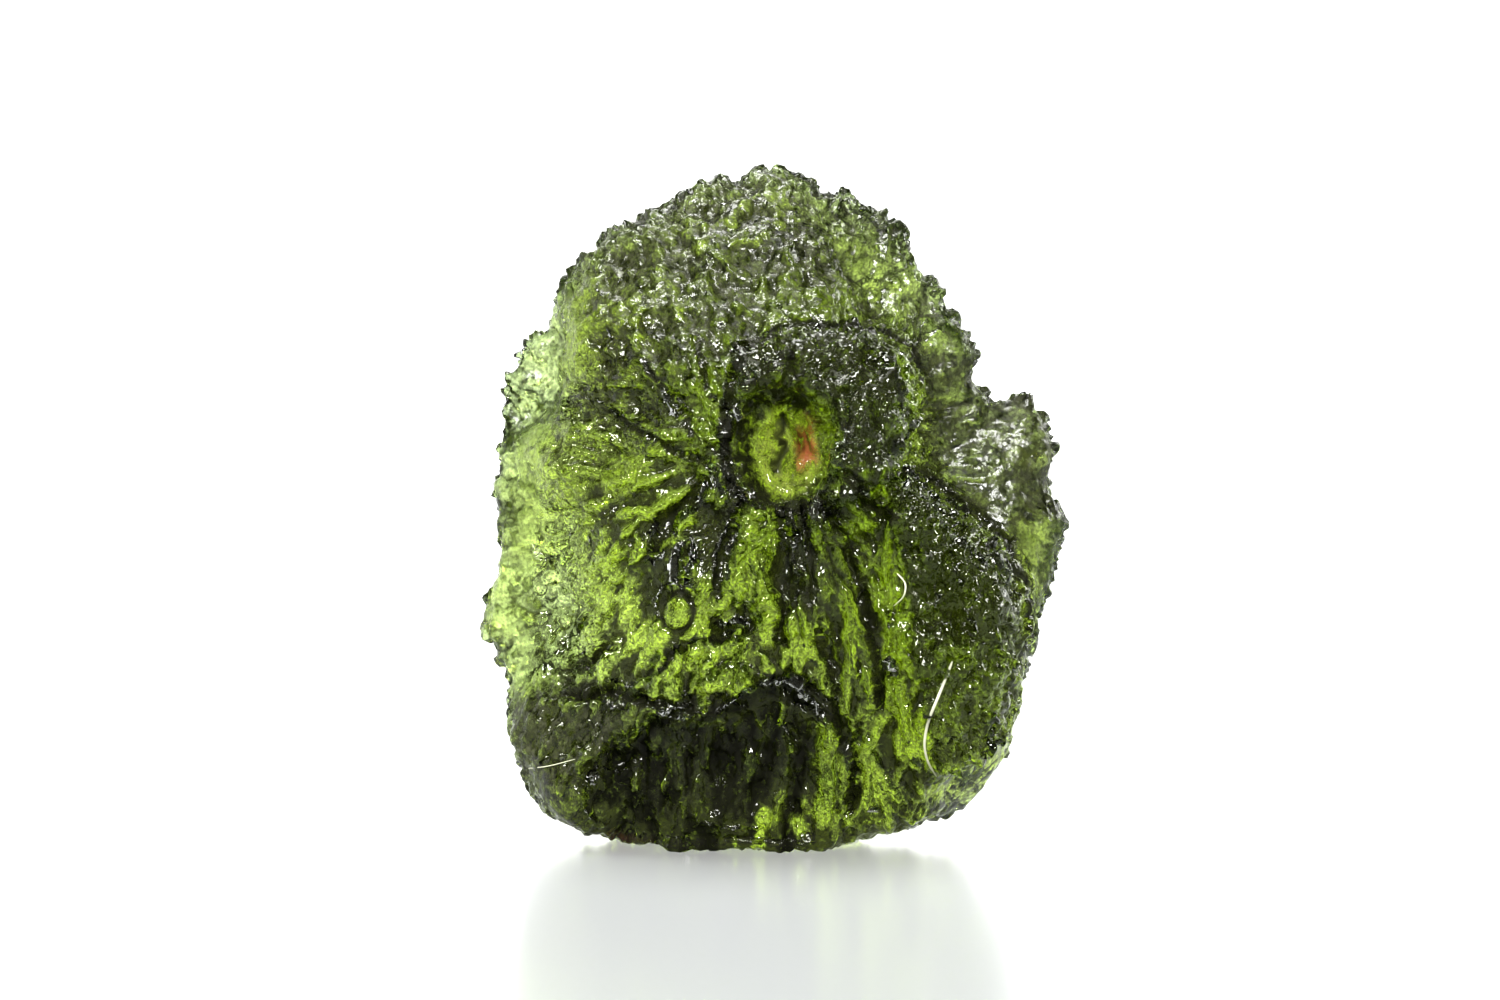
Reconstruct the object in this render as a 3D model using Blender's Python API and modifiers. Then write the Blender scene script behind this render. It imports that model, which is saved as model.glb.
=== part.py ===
"""A moldavite: one piece of green natural glass, standing on a small flat spot.

A thick, deeply etched mass faces the viewer at -Y. A thin flange of the same glass
sticks out behind it at the left, the right and the upper right. Metres, +Z up,
+X to the viewer's right. The origin is the middle of the box's underside.
"""

import math

import bmesh
import bpy
import numpy as np
from mathutils import noise

MM = 0.001

# Driving dimensions, in millimetres
BLANK_FACE = 0.4
STONE_FACE = 0.54
BLANK_THICKNESS = 2.2
RIM_THICKNESS = 0.9
FLANGE_MIDDLE = 2.0
FLANGE_THICKNESS = 2.2
FLANGE_ROUNDING = 1.8
CORE_EDGE = 1.5
TOP_ROUNDING = 4.5
TOP_ROUNDING_BAND = (15.0, 20.0)
SIDE_ROUNDING = 2.2
BACK_RIM_BAND = (0.5, 2.5)
CUT_DEPTH = 1.0

# How far the front of the thick mass stands out, at places over it: (x, z), y towards the viewer
FRONT_HEIGHTS = [
    ((0.4, 13.0), 4.9), ((3.6, 14.6), 4.6), ((2.4, 17.4), 3.8), ((0.0, 19.6), 2.6), ((0.4, 21.6), 0.8),
    ((-3.6, 18.6), 2.6), ((-5.4, 19.6), 1.2), ((-5.8, 15.8), 2.0), ((-2.6, 14.8), 4.2),
    ((-6.6, 12.2), 1.9), ((-3.2, 10.4), 4.0), ((-5.8, 8.4), 1.8), ((-7.4, 4.4), 0.8),
    ((0.2, 8.6), 5.0), ((-2.2, 6.0), 4.3), ((1.6, 5.2), 4.4), ((4.4, 9.0), 4.4), ((7.2, 8.4), 3.2),
    ((7.6, 5.4), 2.6), ((5.0, 4.2), 3.8), ((-5.0, 2.4), 2.4), ((-1.2, 2.4), 3.6), ((-1.0, 0.0), 3.2),
    ((3.4, 1.2), 2.7), ((6.6, 2.6), 1.6),
]

# The same for the back, which is dished behind the clearest parts: (x, z), y away from the viewer
BACK_HEIGHTS = [
    ((0.0, 20.6), 3.0), ((-4.0, 18.6), 2.8), ((3.6, 18.4), 3.4), ((6.2, 15.0), 3.5), ((0.6, 16.4), 4.0),
    ((3.6, 13.6), 4.4), ((0.4, 12.8), 3.2), ((-4.6, 14.2), 2.3), ((-6.8, 11.0), 2.6),
    ((-4.0, 10.4), 1.2), ((-5.6, 7.0), 1.4), ((-1.4, 8.8), 0.6), ((0.4, 6.6), 1.2), ((-2.6, 5.8), 1.2),
    ((-8.0, 8.0), 3.0), ((-7.2, 4.0), 2.6), ((3.6, 9.2), 3.8), ((6.6, 8.2), 4.0), ((6.2, 5.2), 3.6),
    ((3.6, 4.4), 2.0), ((2.6, 1.4), 3.4), ((-2.0, 2.2), 4.0), ((-5.2, 2.0), 3.4), ((8.2, 11.2), 3.1),
    ((5.6, 2.0), 2.8), ((-2.0, -0.6), 3.6),
]
HEIGHT_BLEND = 1.9
LEAST_WEIGHT = 1e-6

# The outline as seen from the front, clockwise from the top: (x, z)
OUTLINE = [
    (0.4, 22.0), (2.3, 21.4), (4.3, 20.4), (5.0, 18.9), (5.5, 18.5), (6.2, 17.0), (6.8, 16.0),
    (6.9, 14.8), (7.5, 14.1), (8.6, 15.1), (9.0, 13.9), (9.4, 12.6), (9.1, 11.7), (9.7, 10.6),
    (9.3, 9.4), (9.3, 8.6), (9.0, 8.1), (8.8, 7.0), (8.6, 5.8), (8.1, 4.8), (7.8, 3.2),
    (7.3, 1.7), (6.0, 0.7), (4.2, 0.2), (2.7, 0.1), (1.5, -CUT_DEPTH), (-3.5, -CUT_DEPTH),
    (-5.2, 0.2), (-6.9, 0.6), (-7.7, 1.7), (-8.1, 3.1), (-8.4, 4.5), (-8.4, 5.2), (-8.8, 6.2),
    (-9.4, 7.0), (-9.1, 8.2), (-8.8, 9.6), (-9.1, 11.4), (-8.9, 13.0), (-8.9, 14.5),
    (-8.5, 15.4), (-8.2, 16.3), (-7.1, 16.6), (-6.8, 17.9), (-6.2, 19.2), (-5.1, 20.2),
    (-3.3, 21.0), (-1.5, 21.7),
]

# The thick mass in front of the flange. It runs past the outline at the top and the foot
CORE = [
    (0.9, 23.5), (1.0, 21.2), (2.2, 19.2), (2.8, 17.2), (4.3, 16.2), (4.6, 14.6), (4.2, 13.0),
    (4.9, 12.0), (6.8, 10.5), (8.0, 8.8), (8.3, 6.6), (8.6, 4.0), (8.8, -2.0), (-9.8, -2.0),
    (-9.8, 3.0), (-7.9, 4.2), (-5.9, 6.2), (-6.1, 9.2), (-5.9, 10.4), (-7.0, 11.6),
    (-7.5, 13.1), (-6.4, 14.5), (-6.8, 17.0), (-7.4, 19.0), (-7.4, 23.5),
]

# Raised plates on the front of the mass: around the pit, and low on the right
UPPER_LOBE = [
    (-1.3, 16.0), (0.9, 16.9), (3.6, 16.6), (4.6, 15.4), (4.5, 13.8), (3.6, 12.1), (2.3, 11.3),
    (2.3, 13.6), (1.0, 15.0), (-1.0, 14.8),
]
RIGHT_LOBE = [
    (3.8, 11.9), (4.9, 12.0), (6.8, 10.5), (8.1, 8.6), (8.2, 6.0), (7.4, 3.7), (5.4, 2.7),
    (4.7, 5.8), (4.2, 9.3),
]

# The dark hollow under the arch at the foot of the front
HOLLOW = [
    (-0.5, 5.2), (0.5, 5.5), (1.9, 4.2), (2.5, 2.6), (2.4, -1.5), (-4.4, -1.5), (-5.7, 1.8),
    (-3.8, 3.9), (-2.2, 4.7),
]

UPPER_LOBE_RISE = 0.7
RIGHT_LOBE_RISE = 0.7
LOBE_EDGE = 0.7
HOLLOW_DEPTH = 1.0
HOLLOW_EDGE = 1.0

# The ring-shaped pit in the middle of the front: (x, z), half width and half height, depth.
# Its wall and its lip are placed in shares of its radii
PIT_CENTRE = (0.4, 13.0)
PIT_RADII = (1.55, 1.9)
PIT_DEPTH = 1.5
PIT_WALL = (0.6, 1.1)
PIT_LIP_HEIGHT = 0.35
PIT_LIP_PLACE = 1.25
PIT_LIP_WIDTH = 0.2

# Broad grooves that run away from the pit: start, end, half width at half depth, depth
FRONT_GROOVES = [
    ((0.3, 11.0), (0.2, 6.8), 0.45, 0.7),
    ((-0.9, 7.9), (-4.8, 2.9), 0.55, 0.7),
    ((-2.4, 12.1), (-4.0, 9.5), 0.5, 0.5),
    ((-2.4, 12.4), (-6.8, 14.4), 0.5, 0.5),
    ((1.5, 7.0), (2.6, 3.0), 0.5, 0.6),
    ((3.3, 6.4), (3.6, 1.6), 0.5, 0.6),
]
BACK_GROOVES = [
    ((-1.8, 12.0), (-6.8, 15.8), 0.6, 0.6),
    ((-3.0, 9.4), (-7.6, 8.2), 0.6, 0.5),
    ((-1.6, 6.4), (-4.6, 2.4), 0.6, 0.6),
    ((1.6, 7.0), (2.6, 1.6), 0.6, 0.6),
    ((2.2, 9.6), (7.4, 6.4), 0.6, 0.7),
    ((2.2, 12.0), (7.6, 13.0), 0.6, 0.7),
    ((0.8, 14.0), (2.2, 20.0), 0.6, 0.6),
    ((-0.8, 14.2), (-3.2, 19.8), 0.6, 0.6),
]

# Where a smooth chip left the lower right corner: its upper edge, its slope, and where it
# fades in along that edge
CHIP_EDGE = ((5.2, 2.5), (7.3, 3.7))
CHIP_SLOPE = 1.6
CHIP_FADE = (-1.2, 0.4)

# Lumps all over: (wavelength, height), and the share of them that edges seen from the front keep
LUMPS = [(4.2, 0.55), (1.8, 0.35)]
EDGE_LUMPS = 0.2

# How close points must be to be joined, in the slab and at the cut foot
SLAB_MERGE = 0.01
FOOT_MERGE = 0.02
CUT_TOLERANCE = 0.0001

GLASS_COLOUR = (0.20, 0.32, 0.06, 1.0)
GLASS_ROUGHNESS = 0.2
GLASS_IOR = 1.49


def clear_scene():
    for ob in list(bpy.data.objects):
        bpy.data.objects.remove(ob, do_unlink=True)


def ramp(value, start, end):
    """0 before start and 1 after end, with a smooth turn between."""
    t = np.clip((value - start) / (end - start), 0.0, 1.0)
    return t * t * (3.0 - 2.0 * t)


def segment_distance(points, a, b):
    """How far each point is from the segment a to b, in the plane of the outline."""
    a = np.array(a)
    along = np.array(b) - a
    t = np.clip((points - a) @ along / (along @ along), 0.0, 1.0)
    return np.linalg.norm(points - a - t[:, None] * along, axis=1)


def depth_inside(points, outline):
    """How far each point is inside a closed outline. It is negative outside."""
    nearest = np.full(len(points), np.inf)
    inside = np.zeros(len(points), bool)
    x, z = points[:, 0], points[:, 1]
    for (ax, az), (bx, bz) in zip(outline, outline[1:] + outline[:1]):
        nearest = np.minimum(nearest, segment_distance(points, (ax, az), (bx, bz)))
        crosses = (az > z) != (bz > z)
        if crosses.any():
            at = ax + (z[crosses] - az) / (bz - az) * (bx - ax)
            inside[crosses] ^= x[crosses] < at
    return np.where(inside, nearest, -nearest)


def quarter_round(inside, width):
    """The rise of a rounded edge: 0 at the rim, 1 from this width inwards."""
    t = np.clip(inside / width, 0.0, 1.0)
    return np.sqrt(1.0 - (1.0 - t) ** 2)


def grooves(points, lines):
    """The depth that the grooves take off the surface."""
    depth = np.zeros(len(points))
    for start, end, half_width, deepest in lines:
        away = segment_distance(points, start, end)
        depth = np.maximum(depth, deepest * (1.0 - ramp(away, 0.0, 2.0 * half_width)))
    return depth


def blended(points, given):
    """The height at each point, blended from the places where it is given."""
    places = np.array([place for place, height in given])
    heights = np.array([height for place, height in given])
    away = np.linalg.norm(points[:, None, :] - places, axis=2)
    weights = np.exp(-((away / HEIGHT_BLEND) ** 2)) + LEAST_WEIGHT / (1.0 + away**4)
    return weights @ heights / weights.sum(axis=1)


def pit(points):
    """The pit's hollow and the low lip around it, as a rise of the surface."""
    r = np.linalg.norm((points - np.array(PIT_CENTRE)) / np.array(PIT_RADII), axis=1)
    hollow = PIT_DEPTH * (1.0 - ramp(r, *PIT_WALL))
    lip = PIT_LIP_HEIGHT * np.exp(-(((r - PIT_LIP_PLACE) / PIT_LIP_WIDTH) ** 2))
    return lip - hollow


def chip(points):
    """What the smooth chip at the lower right corner takes off the front."""
    a, b = np.array(CHIP_EDGE)
    along = (b - a) / np.linalg.norm(b - a)
    below = (points - a) @ np.array([along[1], -along[0]])
    beside = (points - a) @ along
    return CHIP_SLOPE * np.clip(below, 0.0, None) * ramp(beside, *CHIP_FADE)


def within(points, outline, edge):
    """1 inside an outline and 0 outside it, with a soft edge of this width."""
    return ramp(depth_inside(points, outline), -edge / 2, edge / 2)


def front_surface(points, inside):
    """How far the front stands towards the viewer, from the plane of the origin."""
    flange = FLANGE_THICKNESS / 2 * quarter_round(inside, FLANGE_ROUNDING) - FLANGE_MIDDLE
    near_top = ramp(points[:, 1], *TOP_ROUNDING_BAND)
    rounding = SIDE_ROUNDING + (TOP_ROUNDING - SIDE_ROUNDING) * near_top
    mass = blended(points, FRONT_HEIGHTS) - flange
    mass += UPPER_LOBE_RISE * within(points, UPPER_LOBE, LOBE_EDGE)
    mass += RIGHT_LOBE_RISE * within(points, RIGHT_LOBE, LOBE_EDGE)
    mass -= HOLLOW_DEPTH * within(points, HOLLOW, HOLLOW_EDGE)
    mass += pit(points) - grooves(points, FRONT_GROOVES) - chip(points)
    mass *= within(points, CORE, CORE_EDGE) * quarter_round(inside, rounding)
    return np.maximum(flange + mass, RIM_THICKNESS / 2 - FLANGE_MIDDLE)


def back_surface(points, inside):
    """How far the back stands away from the viewer, from the plane of the origin."""
    flange = FLANGE_THICKNESS / 2 * quarter_round(inside, FLANGE_ROUNDING) + FLANGE_MIDDLE
    over = blended(points, BACK_HEIGHTS) - flange - grooves(points, BACK_GROOVES)
    over *= quarter_round(inside, SIDE_ROUNDING)
    least = RIM_THICKNESS / 2 + FLANGE_MIDDLE * (1.0 - ramp(inside, *BACK_RIM_BAND))
    return np.maximum(flange + over, least)


def make_blank(collection):
    """A flat slab with the stone's outline, its surface in small even faces."""
    curve = bpy.data.curves.new("outline", "CURVE")
    curve.dimensions = "2D"
    curve.fill_mode = "BOTH"
    curve.extrude = BLANK_THICKNESS / 2 * MM
    curve.resolution_u = 4
    spline = curve.splines.new("BEZIER")
    spline.bezier_points.add(len(OUTLINE) - 1)
    for point, (x, z) in zip(spline.bezier_points, OUTLINE):
        point.co = (x * MM, z * MM, 0.0)
        point.handle_left_type = "AUTO"
        point.handle_right_type = "AUTO"
    spline.use_cyclic_u = True
    outline = bpy.data.objects.new("outline", curve)
    outline.rotation_euler = (math.pi / 2, 0.0, 0.0)
    collection.objects.link(outline)

    slab = as_mesh_object(outline, "slab", collection)
    bm = bmesh.new()
    bm.from_mesh(slab.data)
    bmesh.ops.remove_doubles(bm, verts=bm.verts, dist=SLAB_MERGE * MM)
    bm.to_mesh(slab.data)
    bm.free()
    return with_even_faces(slab, BLANK_FACE, "blank", collection)


def with_even_faces(ob, size, name, collection):
    """The object's surface made again of small faces, all of about one size."""
    even = ob.modifiers.new("even faces", "REMESH")
    even.mode = "VOXEL"
    even.voxel_size = size * MM
    return as_mesh_object(ob, name, collection)


def as_mesh_object(source, name, collection):
    """A new mesh object with the source's final shape. The source is removed."""
    bpy.context.view_layer.update()
    evaluated = source.evaluated_get(bpy.context.evaluated_depsgraph_get())
    mesh = bpy.data.meshes.new_from_object(evaluated)
    mesh.transform(source.matrix_world)
    mesh.name = name
    ob = bpy.data.objects.new(name, mesh)
    collection.objects.link(ob)
    bpy.data.objects.remove(source, do_unlink=True)
    return ob


def shape_stone(stone):
    """Gives the flat blank its front and its back."""
    mesh = stone.data
    co = np.empty(len(mesh.vertices) * 3)
    mesh.vertices.foreach_get("co", co)
    co = co.reshape(-1, 3) / MM
    points = co[:, (0, 2)]
    inside = depth_inside(points, OUTLINE)
    share = np.clip(co[:, 1] / BLANK_THICKNESS + 0.5, 0.0, 1.0)
    front = -front_surface(points, inside)
    back = back_surface(points, inside)
    co[:, 1] = front + share * (back - front)
    mesh.vertices.foreach_set("co", (co * MM).ravel())
    mesh.update()


def roughen(stone):
    """Soft lumps over the whole surface, in and out along its normals."""
    places = []
    for vertex in stone.data.vertices:
        place = vertex.co / MM
        lump = sum(height * noise.noise(place / wavelength) for wavelength, height in LUMPS)
        share = EDGE_LUMPS + (1.0 - EDGE_LUMPS) * abs(vertex.normal.y)
        places.append(vertex.co + vertex.normal * lump * share * MM)
    for vertex, place in zip(stone.data.vertices, places):
        vertex.co = place


def cut_flat_spot(stone):
    """Cuts the foot off level, so that the stone rests on the plane z = 0."""
    bm = bmesh.new()
    bm.from_mesh(stone.data)
    everything = bm.verts[:] + bm.edges[:] + bm.faces[:]
    bmesh.ops.bisect_plane(
        bm,
        geom=everything,
        dist=CUT_TOLERANCE * MM,
        plane_co=(0, 0, 0),
        plane_no=(0, 0, -1),
        clear_outer=True,
    )
    rim = [edge for edge in bm.edges if edge.is_boundary]
    bmesh.ops.holes_fill(bm, edges=rim, sides=0)
    bmesh.ops.remove_doubles(bm, verts=bm.verts, dist=FOOT_MERGE * MM)
    bmesh.ops.triangulate(bm, faces=bm.faces)
    bmesh.ops.recalc_face_normals(bm, faces=bm.faces)
    bm.to_mesh(stone.data)
    bm.free()


def centre_stone(stone):
    """Puts the origin in the middle of the box's underside."""
    corners = np.array([vertex.co for vertex in stone.data.vertices])
    middle = (corners.min(axis=0) + corners.max(axis=0)) / 2
    for vertex in stone.data.vertices:
        vertex.co.x -= middle[0]
        vertex.co.y -= middle[1]


def glass_material():
    material = bpy.data.materials.new("green_glass")
    material.use_nodes = True
    shader = material.node_tree.nodes["Principled BSDF"]
    shader.inputs["Base Color"].default_value = GLASS_COLOUR
    shader.inputs["Roughness"].default_value = GLASS_ROUGHNESS
    shader.inputs["Metallic"].default_value = 0.0
    shader.inputs["IOR"].default_value = GLASS_IOR
    shader.inputs["Transmission Weight"].default_value = 1.0
    return material


def main():
    clear_scene()
    collection = bpy.data.collections.new("moldavite")
    bpy.context.scene.collection.children.link(collection)
    blank = make_blank(collection)
    shape_stone(blank)
    stone = with_even_faces(blank, STONE_FACE, "moldavite", collection)
    roughen(stone)
    cut_flat_spot(stone)
    centre_stone(stone)
    stone.data.materials.clear()
    stone.data.materials.append(glass_material())


main()
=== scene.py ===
"""Looks of a moldavite: etched green glass standing on a pale floor.

The stone's fine surface is made on a dense copy of its solid: plates, grooves and ribs
placed where the front shows them, then thousands of overlapping etch scars that
run away from the ring-shaped pit. Lengths in this file are millimetres unless a property
has a unit. The frame is in metres.
"""

import math

import bmesh
import bpy
import numpy as np
from bpy.props import FloatProperty, FloatVectorProperty, IntProperty, PointerProperty
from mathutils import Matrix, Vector, kdtree, noise
from mathutils.bvhtree import BVHTree


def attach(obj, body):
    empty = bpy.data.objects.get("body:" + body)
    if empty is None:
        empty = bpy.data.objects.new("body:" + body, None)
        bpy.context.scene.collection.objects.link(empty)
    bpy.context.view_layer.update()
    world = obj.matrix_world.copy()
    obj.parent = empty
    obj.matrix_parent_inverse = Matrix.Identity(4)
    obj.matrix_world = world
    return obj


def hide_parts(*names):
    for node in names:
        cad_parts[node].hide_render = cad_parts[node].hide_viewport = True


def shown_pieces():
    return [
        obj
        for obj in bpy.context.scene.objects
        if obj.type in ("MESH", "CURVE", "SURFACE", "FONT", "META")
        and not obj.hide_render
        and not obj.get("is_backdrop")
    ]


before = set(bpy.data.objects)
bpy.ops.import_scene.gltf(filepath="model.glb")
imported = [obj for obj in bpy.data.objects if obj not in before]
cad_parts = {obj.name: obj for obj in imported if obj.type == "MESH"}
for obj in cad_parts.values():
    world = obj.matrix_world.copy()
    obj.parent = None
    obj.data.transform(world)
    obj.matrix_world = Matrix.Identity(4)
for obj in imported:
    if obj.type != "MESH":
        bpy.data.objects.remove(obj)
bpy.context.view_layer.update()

bl_info = {
    "name": "Moldavite",
    "version": (1, 0, 0),
    "blender": (4, 5, 0),
    "location": "View3D > Sidebar > Moldavite",
    "description": "Etched green glass stone, its lint and its studio",
    "category": "Add Mesh",
}

MM = 0.001
STONE_NODE = "moldavite"
BODY = "root"

# The camera of the photograph, and the place on the stone that it looks at
CAMERA_DISTANCE = 250.0
CAMERA_ELEVATION = math.radians(5.5)
PIXEL = 0.0323
PHOTO_WIDTH = 1500
LOOK_AT = (-0.75, 0.0, 11.42)
VIEW_BACK = Vector((0.0, -math.cos(CAMERA_ELEVATION), math.sin(CAMERA_ELEVATION)))
VIEW_UP = Vector((0.0, math.sin(CAMERA_ELEVATION), math.cos(CAMERA_ELEVATION)))

# The lamps, which light only the stone and its lint: name, place, size and brightness
LIGHTS = [
    ("top", (-30, 110, 260), 110, 12.0),
    ("right", (250, 120, 110), 100, 8.0),
    ("front", (40, -300, 170), 90, 60.0),
    ("front_left", (-170, -200, 220), 75, 55.0),
]
FLOOR_SIZE = 3000
FLOOR_ROUGHNESS = 0.2
LIGHT_BOUNCES = 16

# The light panels: how many stand round the stone, and where each begins and ends, on a wave
# round the stone or on the part of a direction that goes back or up
PANELS = 6
PANEL_EDGE = (-0.25, 0.35)
WHOLE_BEHIND = (0.6, 0.9)
PANEL_TOP = (0.4, 0.6)
FRONT_TO_BACK = (-0.2, 0.8)
OVERHEAD_EDGE = (0.87, 0.96)

# The places, outlines and runs below are as the camera sees them, on the upright plane
# through the stone's middle: (x, z)
PIT = (0.26, 13.2)
PIT_RADII = (1.72, 1.95)
PIT_FLOOR = (0.42, 12.95)
PIT_FLOOR_RADII = (1.15, 1.62)
PIT_LOBES = [
    ([(0.0, 14.0), (-0.35, 13.3), (-0.45, 12.6), (-0.1, 11.9), (0.5, 11.6), (1.1, 11.9)],
     0.36, 0.3),
    ([(0.75, 13.8), (1.0, 13.1), (0.8, 12.5)], 0.42, 0.3),
]
PIT_SEAM = [
    ([(0.35, 14.1), (0.15, 13.6), (0.3, 13.1), (0.0, 12.6), (0.2, 12.1)], 0.2, 0.3),
    ([(-0.95, 11.7), (-0.5, 11.3), (0.3, 11.05), (1.1, 11.3)], 0.2, 0.25),
]
PIT_DEPTH = 0.8
PIT_WALL = (0.84, 1.0)
PIT_LIP = (1.1, 0.1)
PIT_LIP_HEIGHT = 0.2
PIT_FLOOR_RISE = 0.3
PIT_FLOOR_EDGE = (0.8, 1.0)
PIT_FLOOR_UNEVEN = 0.16
PIT_FLOOR_WAVE = 0.55

# A bubble's round dome and the moat round it, whose radius is a share of the bubble's
BUBBLE = (-3.1, 7.8)
BUBBLE_RADII = (0.5, 0.5)
BUBBLE_HEIGHT = 0.15
MOAT_RADIUS = 1.15
MOAT_WIDTH = 0.2
MOAT_DEPTH = 0.2

# A rusty stain in the pit, and an orange-brown mark along the foot: place, radii and strength
STAINS = [((1.05, 13.2), (0.62, 1.05), 1.0), ((-5.2, 0.4), (1.1, 0.3), 0.45)]

# Raised plates with crisp edges
UPPER_PLATE = [
    (-1.2, 16.1), (0.9, 16.9), (2.5, 16.9), (3.6, 16.6), (4.3, 16.1), (4.6, 15.4), (4.5, 14.7),
    (4.7, 14.1), (4.2, 13.2), (4.0, 12.6), (3.5, 12.0), (2.7, 11.6), (2.1, 11.3), (2.2, 12.4),
    (2.2, 13.6), (1.8, 14.6), (0.9, 15.0), (-0.3, 15.1), (-1.0, 14.8),
]
RIGHT_PLATE = [
    (3.8, 11.9), (4.4, 12.2), (4.9, 12.0), (5.3, 11.5), (6.0, 11.1), (6.8, 10.5), (7.4, 10.0),
    (7.5, 9.2), (8.0, 8.6), (8.2, 6.9), (7.8, 4.9), (7.4, 3.7), (6.1, 2.9), (5.3, 2.7),
    (5.1, 3.8), (4.9, 4.9), (4.6, 6.6), (4.4, 7.9), (4.3, 9.1), (4.0, 10.4),
]
UPPER_PLATE_RISE = 0.42
RIGHT_PLATE_RISE = 0.36
PLATE_EDGE = 0.2

# The hollow at the foot, sunk and painted black as shade
HOLLOW = [
    (-0.5, 4.9), (0.5, 5.2), (1.1, 4.6), (1.5, 3.6), (1.4, 2.4), (1.2, 0.6), (0.6, -0.5),
    (-4.3, -0.5), (-5.9, 1.2), (-6.4, 2.6), (-5.2, 3.6), (-4.0, 4.0), (-2.9, 4.3), (-1.9, 4.2),
]
HOLLOW_DEPTH = 0.45
HOLLOW_EDGE = 0.25

# Deep grooves, painted black as shade: the run of each, its half width and its depth
GROOVES = [
    ([(0.3, 11.3), (0.2, 10.0), (0.3, 8.7), (0.2, 6.9)], 0.24, 0.5),
    ([(-0.3, 7.8), (-0.9, 7.2), (-1.6, 7.0), (-2.5, 6.9), (-3.4, 6.5), (-3.7, 5.8)], 0.19, 0.4),
    ([(-2.7, 4.7), (-3.9, 4.1), (-4.5, 3.1), (-4.9, 2.6)], 0.22, 0.4),
    ([(1.5, 7.3), (2.0, 5.6)], 0.18, 0.35),
    ([(3.0, 8.4), (3.3, 6.5), (3.5, 4.6)], 0.22, 0.4),
    ([(0.5, 5.7), (1.4, 5.2), (2.0, 4.6), (2.4, 3.4), (2.8, 2.3), (2.5, 1.2)], 0.23, 0.45),
    ([(-5.4, 14.3), (-4.0, 13.5), (-2.9, 12.9), (-1.9, 12.4)], 0.13, 0.25),
    ([(-2.5, 16.8), (-2.2, 15.5), (-2.0, 14.7)], 0.12, 0.25),
    ([(-4.3, 16.0), (-3.4, 14.8), (-2.7, 13.7), (-1.8, 13.0)], 0.12, 0.25),
    ([(-7.0, 5.9), (-5.9, 6.2), (-5.1, 6.6)], 0.22, 0.35),
    ([(-6.9, 5.1), (-5.4, 5.2), (-4.3, 4.9), (-3.0, 4.8)], 0.24, 0.4),
    ([(-2.8, 10.0), (-3.0, 8.9), (-2.7, 8.2)], 0.14, 0.25),
    ([(-2.5, 12.0), (-3.3, 10.8), (-4.0, 9.6)], 0.2, 0.35),
    ([(-1.1, 11.4), (-1.6, 10.0), (-2.0, 8.5)], 0.17, 0.3),
    ([(0.9, 11.2), (1.3, 9.5), (1.1, 7.9)], 0.16, 0.25),
    ([(1.5, 11.4), (2.5, 10.0), (2.9, 8.2)], 0.2, 0.35),
    ([(2.4, 12.4), (3.1, 11.4), (3.9, 10.8)], 0.2, 0.35),
    ([(-1.2, 15.8), (-1.6, 14.0), (-1.5, 12.1), (-0.9, 11.3)], 0.22, 0.4),
    ([(-1.3, 16.3), (0.8, 17.1), (2.5, 17.1), (3.8, 16.8), (4.6, 16.2), (4.8, 15.3)], 0.13, 0.25),
    ([(3.7, 12.1), (4.4, 12.4), (5.0, 12.2), (5.5, 11.7), (6.2, 11.3), (7.0, 10.7), (7.6, 10.1),
      (7.7, 9.3), (8.2, 8.7), (8.4, 7.0)], 0.14, 0.3),
]

# The brow of the arch over the hollow, cut in and painted black as shade
ARCH = [(-3.0, 4.8), (-1.8, 4.8), (-0.8, 5.0), (0.3, 5.5), (1.1, 5.0), (1.8, 4.3)]
ARCH_HALF_WIDTH = 0.55
ARCH_DEPTH = 0.4

# Thick tongues of glass stand between the grooves here, instead of scars
TONGUED = [
    (-6.2, 12.2), (-3.6, 12.6), (-1.6, 11.6), (0.4, 11.2), (2.2, 11.4), (4.2, 10.8), (4.6, 8.0),
    (5.2, 3.0), (5.6, 0.5), (1.4, 0.2), (1.6, 4.2), (0.5, 5.3), (-1.0, 5.0), (-3.0, 4.6),
    (-5.0, 4.4), (-6.6, 5.4), (-6.2, 9.0),
]
TONGUED_EDGE = 0.8

# Raised ribs, painted clear as light shining through: the run of each, its half width and its
# height
RIBS = [
    ([(3.5, 8.7), (3.8, 6.5), (4.2, 4.6), (4.6, 2.8)], 0.22, 0.2),
    ([(4.4, 8.2), (4.3, 7.2), (4.5, 5.9)], 0.1, 0.1),
    ([(1.7, 4.3), (1.8, 2.7), (1.5, 0.9)], 0.38, 0.2),
    ([(3.0, 3.7), (3.1, 2.6), (3.2, 1.4)], 0.36, 0.15),
    ([(-0.4, 10.8), (-0.2, 9.5), (-0.4, 8.2), (-0.3, 7.2)], 0.3, 0.15),
    ([(-1.0, 7.3), (-1.2, 6.3), (-1.1, 5.1)], 0.42, 0.15),
    ([(-2.1, 6.4), (-2.2, 5.3), (-2.3, 4.5)], 0.26, 0.12),
    ([(-1.0, 9.9), (-1.1, 8.9)], 0.3, 0.12),
    ([(-2.6, 9.7), (-2.7, 8.5)], 0.28, 0.12),
    ([(-2.6, 19.9), (-1.5, 19.2)], 0.14, 0.1),
    ([(4.0, 16.2), (4.3, 15.6), (4.4, 14.9), (4.6, 14.3)], 0.16, 0.12),
]
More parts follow.
